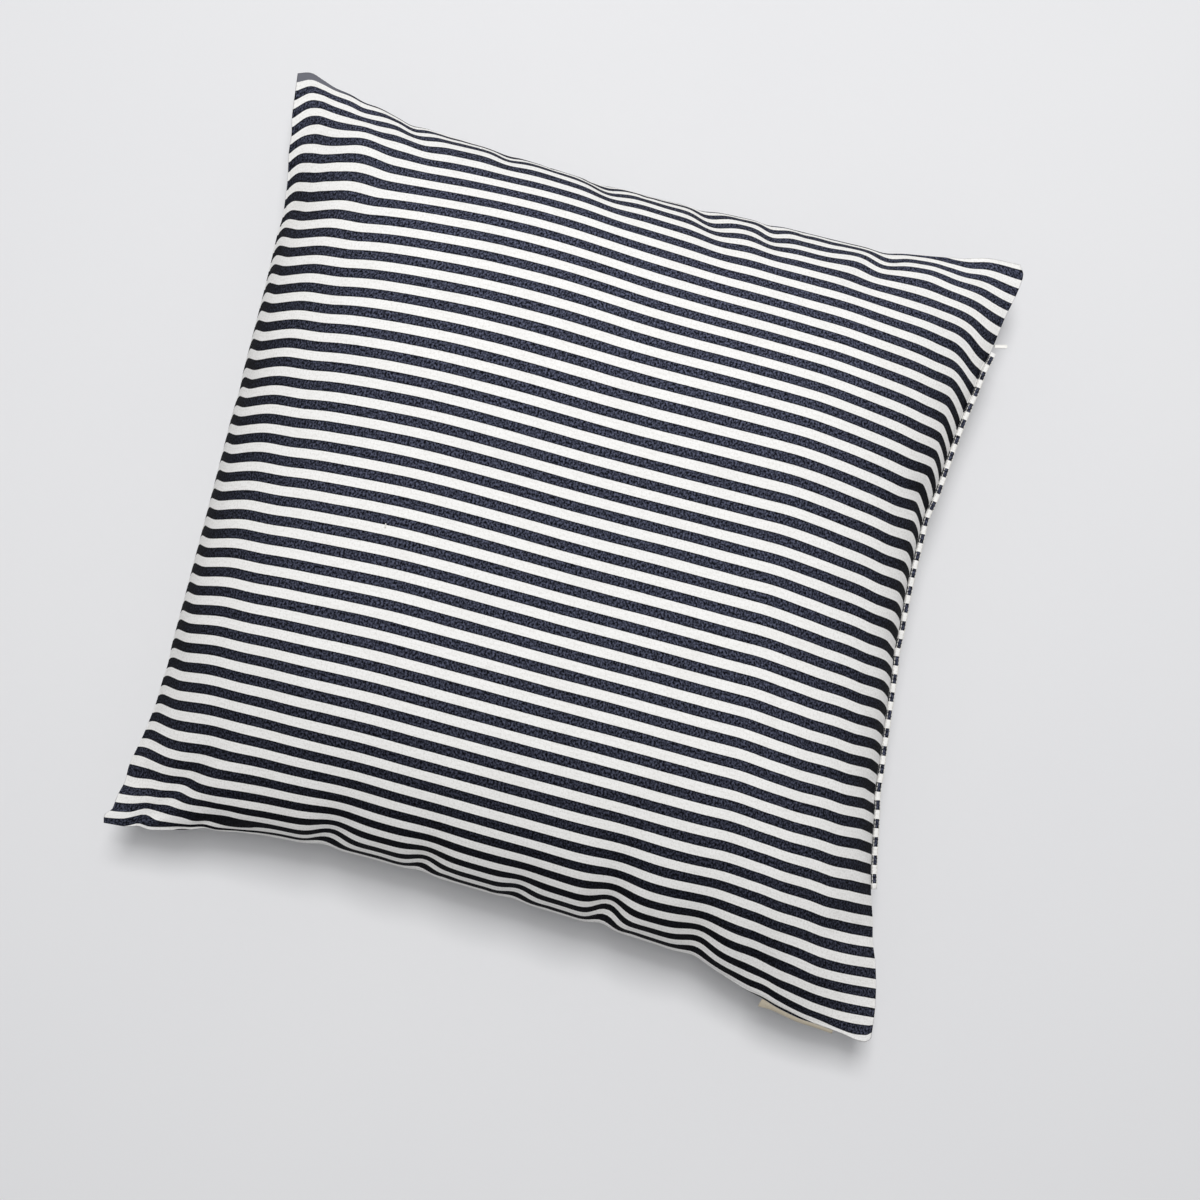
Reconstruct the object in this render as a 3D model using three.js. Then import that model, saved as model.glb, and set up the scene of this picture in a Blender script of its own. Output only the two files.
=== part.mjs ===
// Square bed pillow in a plain knife-edge cover, lying on its back.
// Millimetres, +Z up. X runs along the top and bottom seams, +Y points to the top seam.
// The origin is under the middle of the pillow, on the surface it lies on.
import * as THREE from 'three';
import { mergeVertices } from 'three/addons/utils/BufferGeometryUtils.js';

// Driving dimensions of the cover and its fill
const SEAM_HEIGHT = 68;        // the side seams above the surface, halfway along a side
const CROWN_RISE = 92;         // upper panel above the seams, without the uneven fill
const BELLY_DROP = 82;         // how far the lower panel would sag below the seams on no support
const UPPER_EDGE_SLOPE = 1.34; // radians, slope of the upper panel where it meets the seam
const LOWER_EDGE_SLOPE = 1.42; // radians, the same for the lower panel
const LOWER_FULLNESS = 4;      // how long the lower panel stays flat before it turns up
const DIVISIONS = 44;          // mesh divisions along each side of a panel
const EDGE_CROWDING = 0.12;    // how much closer together they stand near the seams
const CORNER_DROP_POWER = 3;   // how late the seam sinks towards a corner

// Corner tips of the seam
const CORNERS = {
  topLeft: { x: -337, y: 335, z: 56 },
  topRight: { x: 306, y: 330, z: 62 },
  bottomRight: { x: 337, y: -335, z: 54 },
  bottomLeft: { x: -319, y: -322, z: 58 },
};

// How far each seam is drawn in from the straight line between its corners. at runs 0 to 1,
// left to right on the top and bottom seams and bottom to top on the side seams.
const DRAWN_IN = {
  top: [
    { at: 0, inward: 0 }, { at: 0.017, inward: -3 }, { at: 0.037, inward: 1 }, { at: 0.057, inward: 5.5 },
    { at: 0.085, inward: 8.5 }, { at: 0.11, inward: 11.5 }, { at: 0.17, inward: 23 }, { at: 0.3, inward: 29 },
    { at: 0.5, inward: 29 }, { at: 0.65, inward: 25 }, { at: 0.8, inward: 22 }, { at: 0.9, inward: 12 },
    { at: 0.96, inward: 2 }, { at: 1, inward: 0 },
  ],
  bottom: [
    { at: 0, inward: 0 }, { at: 0.05, inward: 4 }, { at: 0.13, inward: 18 }, { at: 0.21, inward: 27 },
    { at: 0.34, inward: 32 }, { at: 0.5, inward: 31 }, { at: 0.65, inward: 29 }, { at: 0.75, inward: 26 },
    { at: 0.81, inward: 16 }, { at: 0.845, inward: 8.5 }, { at: 0.875, inward: 4.5 }, { at: 0.915, inward: 0.5 },
    { at: 1, inward: 0 },
  ],
  left: [
    { at: 0, inward: 0 }, { at: 0.012, inward: -1 }, { at: 0.026, inward: 4.5 }, { at: 0.045, inward: 6 },
    { at: 0.095, inward: 10 }, { at: 0.15, inward: 16.5 }, { at: 0.2, inward: 20 }, { at: 0.5, inward: 22 },
    { at: 0.7, inward: 22 }, { at: 0.85, inward: 19 }, { at: 0.93, inward: 8 }, { at: 1, inward: 0 },
  ],
  right: [
    { at: 0, inward: 0 }, { at: 0.03, inward: 1.5 }, { at: 0.06, inward: 4.5 }, { at: 0.12, inward: 14.5 },
    { at: 0.2, inward: 28 }, { at: 0.34, inward: 39 }, { at: 0.55, inward: 44 }, { at: 0.63, inward: 42 },
    { at: 0.7, inward: 35 }, { at: 0.78, inward: 27 }, { at: 0.85, inward: 17 }, { at: 0.9, inward: 9 },
    { at: 0.935, inward: 4 }, { at: 0.96, inward: -1 }, { at: 0.98, inward: -4 },
    { at: 0.988, inward: -4.6 }, { at: 1, inward: 0 },
  ],
};

// Blunt bulge of the bottom seam beside the right tip, and how far up the panel it reaches
const TIP_BULGE = [
  { at: 0, inward: 0 }, { at: 0.915, inward: 0 }, { at: 0.94, inward: -1 }, { at: 0.96, inward: -2.1 },
  { at: 0.985, inward: -4.3 }, { at: 0.993, inward: -4 }, { at: 1, inward: 0 },
];
const TIP_REACH = 0.015;

// Where the top seam stands out beside the left tip, and how far down the panel that reaches
const TOP_BULGE = [
  { at: 0, inward: 0 }, { at: 0.11, inward: 0 }, { at: 0.17, inward: -2.7 }, { at: 0.21, inward: -3.6 },
  { at: 0.27, inward: -4.4 }, { at: 0.31, inward: -3.6 }, { at: 0.36, inward: -1.6 }, { at: 0.42, inward: 0 },
  { at: 1, inward: 0 },
];
const TOP_REACH = 0.07;

// How late the upper panel rolls off towards each seam: a higher power stays flat for longer
const ROLL_OFF = { left: 2.9, right: 3.5, bottom: 2.9, top: 2.9 };

// The cloth hangs lower at the side seams than between them
const SIDE_SAG = { left: 20, rightBottom: 0, rightTop: 12 };

// Uneven fill under the upper panel: where it is heaped or slumped, how far that reaches in cloth
// coordinates, how much higher it stands, and how far the cloth there is dragged down the pillow.
const FILL = [
  { at: 0.68, up: 0.86, reachAt: 0.26, reachUp: 0.16, rise: -6, drag: 9 },
  { at: 0.52, up: 0.52, reachAt: 0.34, reachUp: 0.36, rise: 6, drag: 0 },
  { at: 0.27, up: 0.30, reachAt: 0.13, reachUp: 0.11, rise: 2, drag: 0 },
  { at: 0.36, up: 0.74, reachAt: 0.14, reachUp: 0.10, rise: -2, drag: 0 },
  { at: 0.78, up: 0.36, reachAt: 0.10, reachUp: 0.16, rise: 2, drag: 0 },
  { at: 0.45, up: 0.67, reachAt: 0.32, reachUp: 0.20, rise: 0, drag: 5.5 },
  { at: 0.45, up: 0.92, reachAt: 0.25, reachUp: 0.08, rise: 0, drag: -4 },
  { at: 0.87, up: 0.48, reachAt: 0.10, reachUp: 0.45, rise: 0, drag: -6.5 },
  { at: 0.97, up: 0.72, reachAt: 0.06, reachUp: 0.12, rise: 0, drag: -8 },
  { at: 0.93, up: 0.87, reachAt: 0.09, reachUp: 0.12, rise: 0, drag: -5 },
  { at: 0.05, up: 0.94, reachAt: 0.12, reachUp: 0.10, rise: 0, drag: -12 },
  { at: 0.13, up: 0.05, reachAt: 0.12, reachUp: 0.09, rise: 0, drag: 7 },
  { at: 0.68, up: 0.22, reachAt: 0.22, reachUp: 0.14, rise: 0, drag: -4 },
];

// Puckers where each seam gathers the upper panel: place along the seam, half width, depth, how far
// the crease runs in from the seam, and how much it leans on the way.
const PUCKERS = {
  top: [
    { at: 0.10, width: 13, depth: 6, reach: 60, lean: 0.5 },
    { at: 0.17, width: 11, depth: 5, reach: 50, lean: 0.4 },
    { at: 0.30, width: 13, depth: 4, reach: 45, lean: 0.2 },
    { at: 0.43, width: 15, depth: 5, reach: 60, lean: 0.3 },
    { at: 0.57, width: 13, depth: 6, reach: 70, lean: 0.3 },
    { at: 0.66, width: 11, depth: 5, reach: 55, lean: 0.1 },
    { at: 0.82, width: 14, depth: 6, reach: 70, lean: -0.3 },
    { at: 0.93, width: 13, depth: 3, reach: 50, lean: -0.5 },
  ],
  bottom: [
    { at: 0.042, width: 8, depth: 13, reach: 75, lean: 0.5 },
    { at: 0.125, width: 9, depth: 5, reach: 35, lean: 0.4 },
    { at: 0.275, width: 14, depth: 8, reach: 60, lean: 0.2 },
    { at: 0.40, width: 13, depth: 6, reach: 55, lean: 0.1 },
    { at: 0.52, width: 12, depth: 5, reach: 45, lean: 0.1 },
    { at: 0.634, width: 12, depth: 10, reach: 85, lean: 0.05 },
    { at: 0.755, width: 14, depth: 6, reach: 70, lean: -0.1 },
    { at: 0.85, width: 14, depth: 5, reach: 55, lean: -0.2 },
  ],
  left: [
    { at: 0.07, width: 13, depth: 6, reach: 45, lean: 0.2 },
    { at: 0.24, width: 14, depth: 3, reach: 40, lean: 0 },
    { at: 0.60, width: 15, depth: 3, reach: 40, lean: 0 },
    { at: 0.83, width: 14, depth: 4, reach: 50, lean: -0.1 },
    { at: 0.93, width: 12, depth: 5, reach: 50, lean: -0.3 },
  ],
  right: [
    { at: 0.12, width: 14, depth: 4, reach: 60, lean: 0.1 },
    { at: 0.30, width: 15, depth: 3, reach: 40, lean: 0 },
    { at: 0.48, width: 15, depth: 3, reach: 40, lean: 0 },
    { at: 0.66, width: 15, depth: 4, reach: 45, lean: 0 },
    { at: 0.86, width: 14, depth: 3, reach: 60, lean: -0.2 },
  ],
};
const PUCKER_START = 14;       // a pucker reaches its full depth this far in from the seam
const PUCKER_RIM = 0.6;        // how much the cloth beside a pucker stands up
const THIN_CLOTH = 0.3;        // puckers fade where the fill is thinner than this part of the crown
const LOWER_PUCKERS = 0.6;     // puckers of the lower panel against those of the upper one
const LOWER_SHIFT = 0.035;     // and how far along the seam they are shifted
const PUCKER_SPREAD = 0.15;    // how much wider a pucker gets for each millimetre from the seam
const SEAM_WAVE = 0.3;         // how far a pucker draws the seam itself in, against its own depth
const WAVE_FADE = 12;          // the seam's waves fade out over one part in this many at each corner
const WAVE_REACH = 0.05;       // and into the panel over this share of it
const STEP = 0.004;            // step in cloth coordinates for a direction on the surface

// Zip lap, a folded and topstitched strip along the right seam
const LAP = { from: 0.181, to: 0.887, width: 4.6, thick: 2.6, round: 0.9 };
// Pull of the closed zip, just above the upper end of the lap
const PULL = { at: 0.8955, length: 11, width: 3.2, thick: 1.8, turn: 13.5 };
// Blank label caught in the bottom seam near the right corner. More of it shows at its left end:
// flare is how much more, flareReach over what share of its length, and drop how low its free edge hangs.
const LABEL = {
  from: 0.853, to: 0.95, show: 3.8, showEnd: 2.8, thick: 1, flare: 3.2, flareReach: 0.12, drop: 1.2,
};
const FLARE_STATIONS = [0.5, 1, 1.7];  // extra sections there, in parts of that reach
const GAP = 0.3;               // clearance between neighbouring pieces

const ROUND_END_SEGMENTS = 8;  // segments of the pull's round end
const SAME_POINT = 1e-4;       // mesh points closer than this are one

const COLOURS = { cloth: 0x6f7484, lap: 0x2b3042, pull: 0xf0ece2, label: 0xe9dfc8 };

// Piecewise curve through a table's rows, with the slopes of a monotone cubic
function through(rows, at) {
  const last = rows.length - 1;
  const x = THREE.MathUtils.clamp(at, rows[0].at, rows[last].at);
  let i = 0;
  while (i < last - 1 && x > rows[i + 1].at) i += 1;
  const step = (k) => (rows[k + 1].inward - rows[k].inward) / (rows[k + 1].at - rows[k].at);
  const slope = (k) => {
    if (k === 0) return step(0);
    if (k === last) return step(last - 1);
    const before = step(k - 1);
    const after = step(k);
    return before * after <= 0 ? 0 : (2 * before * after) / (before + after);
  };
  const span = rows[i + 1].at - rows[i].at;
  const u = (x - rows[i].at) / span;
  const rise = u * u * (3 - 2 * u);
  const out = u * (1 - u) * (1 - u) * slope(i) * span;
  const into = u * u * (1 - u) * slope(i + 1) * span;
  return rows[i].inward + (rows[i + 1].inward - rows[i].inward) * rise + out - into;
}

// Half cross-section of a filled panel: its slope grows as a power of the way to the seam.
// plan(q) is how far out the cloth has come, rise(q) how high it still stands, both 0 to 1.
function section(power, edgeSlope) {
  const steps = 200;
  const plan = [0];
  const fall = [0];
  for (let i = 1; i <= steps; i += 1) {
    const angle = edgeSlope * ((i - 0.5) / steps) ** power;
    plan.push(plan[i - 1] + Math.cos(angle));
    fall.push(fall[i - 1] + Math.sin(angle));
  }
  const read = (list, q) => {
    const x = Math.min(Math.abs(q), 1) * steps;
    const i = Math.min(Math.floor(x), steps - 1);
    return (list[i] + (list[i + 1] - list[i]) * (x - i)) / list[steps];
  };
  return { plan: (q) => read(plan, q), rise: (q) => 1 - read(fall, q) };
}

const UPPER = {};
for (const [side, power] of Object.entries(ROLL_OFF)) UPPER[side] = section(power, UPPER_EDGE_SLOPE);
const lower = section(LOWER_FULLNESS, LOWER_EDGE_SLOPE);
const LOWER = { left: lower, right: lower, bottom: lower, top: lower };

const mix = THREE.MathUtils.lerp;
const smooth = (x) => THREE.MathUtils.smoothstep(x, 0, 1);

// Depth of a pucker across its own width, with its two rims
function dip(offset, width) {
  const x = offset / width;
  return (1 - PUCKER_RIM * x * x) * Math.exp(-x * x);
}

// How far the puckers of one seam draw the cloth inwards near it. away is the share of the panel
// between the place and that seam.
function wave(side, at, away, length) {
  let inward = 0;
  for (const row of PUCKERS[side]) {
    inward += SEAM_WAVE * row.depth * dip((at - row.at) * length, row.width);
  }
  return inward * smooth(at * WAVE_FADE) * smooth((1 - at) * WAVE_FADE) * Math.exp(-((away / WAVE_REACH) ** 2));
}

// The seam line: height, and the place of the four sides for cloth coordinates s and t
function seamHeight(s, t) {
  const { topLeft, topRight, bottomRight, bottomLeft } = CORNERS;
  const low = mix(mix(bottomLeft.z, bottomRight.z, s), mix(topLeft.z, topRight.z, s), t);
  const nearCorner = Math.abs((2 * s - 1) * (2 * t - 1)) ** CORNER_DROP_POWER;
  return mix(SEAM_HEIGHT, low, nearCorner);
}
function sides(s, t) {
  const { topLeft, topRight, bottomRight, bottomLeft } = CORNERS;
  const across = topRight.x - topLeft.x;
  const up = topLeft.y - bottomLeft.y;
  const straight = {
    left: mix(bottomLeft.x, topLeft.x, t),
    right: mix(bottomRight.x, topRight.x, t),
    bottom: mix(bottomLeft.y, bottomRight.y, s),
    top: mix(topLeft.y, topRight.y, s),
  };
  return {
    left: straight.left + through(DRAWN_IN.left, t) + wave('left', t, s, up),
    right: straight.right - through(DRAWN_IN.right, t) - wave('right', t, 1 - s, up),
    bottom: straight.bottom + through(DRAWN_IN.bottom, s) + wave('bottom', s, t, across)
      + through(TIP_BULGE, s) * Math.exp(-((t / TIP_REACH) ** 2)),
    top: straight.top - through(DRAWN_IN.top, s) - wave('top', s, 1 - t, across)
      - through(TOP_BULGE, s) * Math.exp(-(((1 - t) / TOP_REACH) ** 2)),
  };
}

// A point of a panel before puckers. s runs left to right and t bottom to top along the cloth.
function bare(s, t, panel) {
  const a = 2 * s - 1;
  const b = 2 * t - 1;
  const acrossSection = a < 0 ? panel.left : panel.right;
  const upSection = b < 0 ? panel.bottom : panel.top;
  const fullAcross = acrossSection.rise(a);
  const fullUp = upSection.rise(b);
  const across = mix(a, Math.sign(a) * acrossSection.plan(a), fullUp ** 2);
  const up = mix(b, Math.sign(b) * upSection.plan(b), fullAcross ** 2);
  const side = sides(s, t);
  const awayFromEnds = 1 - b ** 4;
  const sag = awayFromEnds * (a < 0
    ? SIDE_SAG.left * (-a) ** 3
    : mix(SIDE_SAG.rightBottom, SIDE_SAG.rightTop, t) * a ** 4);
  const point = new THREE.Vector3(
    mix(side.left, side.right, (1 + across) / 2),
    mix(side.bottom, side.top, (1 + up) / 2) - sag,
    seamHeight(s, t),
  );
  return { point, full: fullAcross * fullUp };
}
function bareUpper(s, t) {
  const { point, full } = bare(s, t, UPPER);
  point.z += CROWN_RISE * full;
  for (const heap of FILL) {
    const away = ((s - heap.at) / heap.reachAt) ** 2 + ((t - heap.up) / heap.reachUp) ** 2;
    const share = Math.exp(-away) * Math.min(full / THIN_CLOTH, 1);
    point.y -= heap.drag * share;
    point.z += heap.rise * share;
  }
  return { point, full };
}
function bareLower(s, t) {
  const { point, full } = bare(s, t, LOWER);
  point.z -= BELLY_DROP * full;
  return { point, full };
}

// Depth of all puckers at a place of a panel
function puckered(s, t, shift) {
  const width = CORNERS.topRight.x - CORNERS.topLeft.x;
  const height = CORNERS.topLeft.y - CORNERS.bottomLeft.y;
  const places = {
    top: { along: s * width, away: (1 - t) * height, length: width },
    bottom: { along: s * width, away: t * height, length: width },
    left: { along: t * height, away: s * width, length: height },
    right: { along: t * height, away: (1 - s) * width, length: height },
  };
  let depth = 0;
  for (const [side, { along, away, length }] of Object.entries(places)) {
    for (const row of PUCKERS[side]) {
      const middle = (row.at + shift) * length + row.lean * away;
      const fade = Math.exp(-((away / row.reach) ** 2)) * smooth(away / PUCKER_START);
      depth += row.depth * fade * dip(along - middle, row.width + PUCKER_SPREAD * away);
    }
  }
  return depth;
}

// A panel's own point: the bare surface, pressed in along its normal by the puckers
function pressed(bareSide, s, t, shift, strength) {
  const { point, full } = bareSide(s, t);
  const ds = bareSide(Math.min(s + STEP, 1), t).point.sub(bareSide(Math.max(s - STEP, 0), t).point);
  const dt = bareSide(s, Math.min(t + STEP, 1)).point.sub(bareSide(s, Math.max(t - STEP, 0)).point);
  const normal = ds.cross(dt).normalize();
  return point.addScaledVector(normal, -strength * puckered(s, t, shift) * Math.min(full / THIN_CLOTH, 1));
}
const upperPoint = (s, t) => pressed(bareUpper, s, t, 0, 1);
function lowerPoint(s, t) {
  const point = pressed(bareLower, s, t, LOWER_SHIFT, -LOWER_PUCKERS);
  point.z = Math.max(point.z, 0);
  return point;
}

// Cloth coordinates of the mesh lines, a little closer together near the seams
function lines() {
  const list = [];
  for (let i = 0; i <= DIVISIONS; i += 1) {
    const g = (2 * i) / DIVISIONS - 1;
    list.push((1 + g * (1 + EDGE_CROWDING - EDGE_CROWDING * g * g)) / 2);
  }
  return list;
}

function solid(positions, faces) {
  const geometry = new THREE.BufferGeometry();
  geometry.setAttribute('position', new THREE.Float32BufferAttribute(positions, 3));
  geometry.setIndex(faces);
  const merged = mergeVertices(geometry, SAME_POINT);
  merged.computeVertexNormals();
  return merged;
}

// Both panels of the cover over its fill, closed along the seam
function coverGeometry() {
  const list = lines();
  const count = list.length;
  const positions = [];
  const faces = [];
  for (const panel of [upperPoint, lowerPoint]) {
    for (const t of list) for (const s of list) positions.push(...panel(s, t).toArray());
  }
  // Each cell is split from its corner nearest the pillow's own, so that the tips keep their thickness
  const quad = (a, b, c, d, turned) => faces.push(...(turned ? [b, c, d, b, d, a] : [a, b, c, a, c, d]));
  for (let j = 0; j < count - 1; j += 1) {
    for (let i = 0; i < count - 1; i += 1) {
      const corner = j * count + i;
      const under = count * count + corner;
      const turned = (i < DIVISIONS / 2) !== (j < DIVISIONS / 2);
      quad(corner, corner + 1, corner + count + 1, corner + count, turned);
      quad(under, under + count, under + count + 1, under + 1, turned);
    }
  }
  return solid(positions, faces);
}

// A strip swept along stations, each a ring of points; the ends are closed as fans
function swept(rings) {
  const size = rings[0].length;
  const positions = rings.flat().flatMap((point) => point.toArray());
  const faces = [];
  for (let r = 0; r < rings.length - 1; r += 1) {
    for (let k = 0; k < size; k += 1) {
      const next = (k + 1) % size;
      const a = r * size + k;
      const b = r * size + next;
      faces.push(a, b, b + size, a, b + size, a + size);
    }
  }
  const end = (rings.length - 1) * size;
  for (let k = 1; k < size - 1; k += 1) {
    faces.push(0, k + 1, k);
    faces.push(end, end + k, end + k + 1);
  }
  return solid(positions, faces);
}

// A place on the meshed seam of the cover with its outward and along directions, level with the surface
function seamFrame(at, side) {
  const list = lines();
  const next = list.findIndex((x) => x >= at);
  const seam = (x) => (side === 'bottom' ? upperPoint(x, 0) : upperPoint(1, x));
  const share = (at - list[next - 1]) / (list[next] - list[next - 1]);
  const along = seam(at + STEP).sub(seam(at - STEP)).setZ(0).normalize();
  const outward = new THREE.Vector3(along.y, -along.x, 0);
  return { point: seam(list[next - 1]).lerp(seam(list[next]), share), along, outward };
}

// Section of the lap: square against the seam, rounded at its folded outer edge
function lapRing({ point, outward }) {
  const place = (out, up) => point.clone().addScaledVector(outward, out).add(new THREE.Vector3(0, 0, up));
  const half = LAP.thick / 2;
  const outer = GAP + LAP.width;
  return [
    place(GAP, -half), place(outer - LAP.round, -half), place(outer, -half + LAP.round),
    place(outer, half - LAP.round), place(outer - LAP.round, half), place(GAP, half),
  ];
}
function lapGeometry() {
  const stations = lines().filter((t) => t > LAP.from && t < LAP.to);
  const places = [LAP.from, ...stations, LAP.to];
  return swept(places.map((t) => lapRing(seamFrame(t, 'right'))).reverse());
}

// The pull sticks out just above the lap, turned a little, with its root against the seam
function pullGeometry() {
  const shape = new THREE.Shape();
  const half = PULL.width / 2;
  shape.moveTo(0, -half);
  shape.lineTo(PULL.length - half, -half);
  shape.absarc(PULL.length - half, 0, half, -Math.PI / 2, Math.PI / 2, false);
  shape.lineTo(0, half);
  shape.closePath();
  const options = { depth: PULL.thick, bevelEnabled: false, curveSegments: ROUND_END_SEGMENTS };
  const geometry = new THREE.ExtrudeGeometry(shape, options);
  geometry.translate(0, 0, -PULL.thick / 2);
  return geometry;
}
function placePull(mesh) {
  const { point, along, outward } = seamFrame(PULL.at, 'right');
  const turn = THREE.MathUtils.degToRad(PULL.turn);
  const lean = Math.abs(Math.atan2(along.x, along.y));
  mesh.position.copy(point).addScaledVector(outward, GAP + (PULL.width / 2) * Math.tan(turn + lean));
  mesh.rotation.z = turn;
}

// The label hangs out from the bottom seam, less of it showing towards the corner
function labelGeometry() {
  const length = LABEL.to - LABEL.from;
  const stations = lines().filter((s) => s > LABEL.from && s < LABEL.to);
  const flared = FLARE_STATIONS.map((part) => LABEL.from + part * LABEL.flareReach * length);
  const places = [LABEL.from, ...stations, ...flared, LABEL.to].sort((a, b) => a - b);
  const half = LABEL.thick / 2;
  return swept(places.map((s) => {
    const { point, outward } = seamFrame(s, 'bottom');
    const share = (s - LABEL.from) / length;
    const flare = LABEL.flare * Math.exp(-((share / LABEL.flareReach) ** 2));
    const outer = GAP + mix(LABEL.show, LABEL.showEnd, share) + flare;
    const place = (out, up) => point.clone().addScaledVector(outward, out).add(new THREE.Vector3(0, 0, up));
    return [
      place(GAP, -half), place(outer, -half - LABEL.drop), place(outer, half - LABEL.drop), place(GAP, half),
    ];
  }).reverse());
}

function piece(name, geometry, color, roughness) {
  const mesh = new THREE.Mesh(geometry, new THREE.MeshStandardMaterial({ color, roughness, metalness: 0 }));
  mesh.name = name;
  return mesh;
}

const pillow = new THREE.Group();
const pull = piece('zip_pull', pullGeometry(), COLOURS.pull, 0.45);
placePull(pull);
pillow.add(
  piece('cover', coverGeometry(), COLOURS.cloth, 0.9),
  piece('zip_lap', lapGeometry(), COLOURS.lap, 0.9),
  pull,
  piece('seam_label', labelGeometry(), COLOURS.label, 0.85),
);

// The origin stands under the middle of the whole
pillow.updateMatrixWorld(true);
const box = new THREE.Box3().setFromObject(pillow, true);
const middle = box.getCenter(new THREE.Vector3());
pillow.position.set(-middle.x, -middle.y, -box.min.z);

export default pillow;
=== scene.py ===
# Square striped bed pillow lying on its back: its looks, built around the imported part.
# Metres in Blender, in the part's own frame: +Z up, X along the stripes, +Y to the top seam.
# The cloth's tables and functions are in millimetres, as in the part.
import math

import bpy
import numpy as np
from mathutils import Matrix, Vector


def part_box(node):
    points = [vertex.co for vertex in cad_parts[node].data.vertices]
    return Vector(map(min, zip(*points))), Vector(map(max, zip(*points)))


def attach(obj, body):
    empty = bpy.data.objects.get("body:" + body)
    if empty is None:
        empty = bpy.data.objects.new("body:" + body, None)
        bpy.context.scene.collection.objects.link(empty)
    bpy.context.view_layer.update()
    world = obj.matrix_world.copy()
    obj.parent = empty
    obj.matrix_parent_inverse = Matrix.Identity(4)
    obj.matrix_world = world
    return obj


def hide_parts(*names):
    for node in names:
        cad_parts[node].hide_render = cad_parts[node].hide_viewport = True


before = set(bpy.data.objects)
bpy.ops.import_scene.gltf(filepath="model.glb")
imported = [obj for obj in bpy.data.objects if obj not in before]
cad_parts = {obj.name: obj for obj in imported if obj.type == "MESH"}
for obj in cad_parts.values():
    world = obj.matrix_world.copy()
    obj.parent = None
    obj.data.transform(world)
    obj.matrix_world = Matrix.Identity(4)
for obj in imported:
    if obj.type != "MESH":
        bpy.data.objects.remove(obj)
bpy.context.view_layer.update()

MM = 0.001

# Driving dimensions of the cover and its fill
PANEL = 660.0                       # flat side of a panel
SEAM_HEIGHT = 68.0                  # the side seams above the surface, halfway along a side
CROWN_RISE = 92.0                   # upper panel above the seams, without the uneven fill
BELLY_DROP = 82.0                   # how far the lower panel would sag below the seams on no support
UPPER_EDGE_SLOPE = 1.34             # radians, slope of the upper panel where it meets the seam
LOWER_EDGE_SLOPE = 1.42             # radians, the same for the lower panel
LOWER_FULLNESS = 4.0                # how long the lower panel stays flat before it turns up
CORNER_DROP_POWER = 3               # how late the seam sinks towards a corner

# How late the upper panel rolls off towards each seam, and how much lower its cloth hangs at the
# side seams than between them
ROLL_OFF = dict(left=2.9, right=3.5, bottom=2.9, top=2.9)
SIDE_SAG = dict(left=20.0, right_bottom=0.0, right_top=12.0)

# Corner tips of the seam
CORNERS = dict(
    top_left=dict(x=-337, y=335, z=56),
    top_right=dict(x=306, y=330, z=62),
    bottom_right=dict(x=337, y=-335, z=54),
    bottom_left=dict(x=-319, y=-322, z=58),
)

# How far each seam is drawn in from the straight line between its corners: place along the
# seam, left to right or bottom to top, and millimetres inwards
DRAWN_IN = dict(
    top=[(0, 0), (0.017, -3), (0.037, 1), (0.057, 5.5), (0.085, 8.5), (0.11, 11.5), (0.17, 23), (0.3, 29),
         (0.5, 29), (0.65, 25), (0.8, 22), (0.9, 12), (0.96, 2), (1, 0)],
    bottom=[(0, 0), (0.05, 4), (0.13, 18), (0.21, 27), (0.34, 32), (0.5, 31), (0.65, 29), (0.75, 26),
            (0.81, 16), (0.845, 8.5), (0.875, 4.5), (0.915, 0.5), (1, 0)],
    left=[(0, 0), (0.012, -1), (0.026, 4.5), (0.045, 6), (0.095, 10), (0.15, 16.5), (0.2, 20), (0.5, 22),
          (0.7, 22), (0.85, 19), (0.93, 8), (1, 0)],
    right=[(0, 0), (0.03, 1.5), (0.06, 4.5), (0.12, 14.5), (0.2, 28), (0.34, 39), (0.55, 44), (0.63, 42),
           (0.7, 35), (0.78, 27), (0.85, 17), (0.9, 9), (0.935, 4), (0.96, -1), (0.98, -4), (0.988, -4.6),
           (1, 0)],
)

# Blunt bulge of the bottom seam beside the right tip, and how far up the panel it reaches
TIP_BULGE = [(0, 0), (0.915, 0), (0.94, -1), (0.96, -2.1), (0.985, -4.3), (0.993, -4), (1, 0)]
TIP_REACH = 0.015

# Where the top seam stands out beside the left tip, and how far down the panel that reaches
TOP_BULGE = [(0, 0), (0.11, 0), (0.17, -2.7), (0.21, -3.6), (0.27, -4.4), (0.31, -3.6), (0.36, -1.6),
             (0.42, 0), (1, 0)]
TOP_REACH = 0.07

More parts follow.
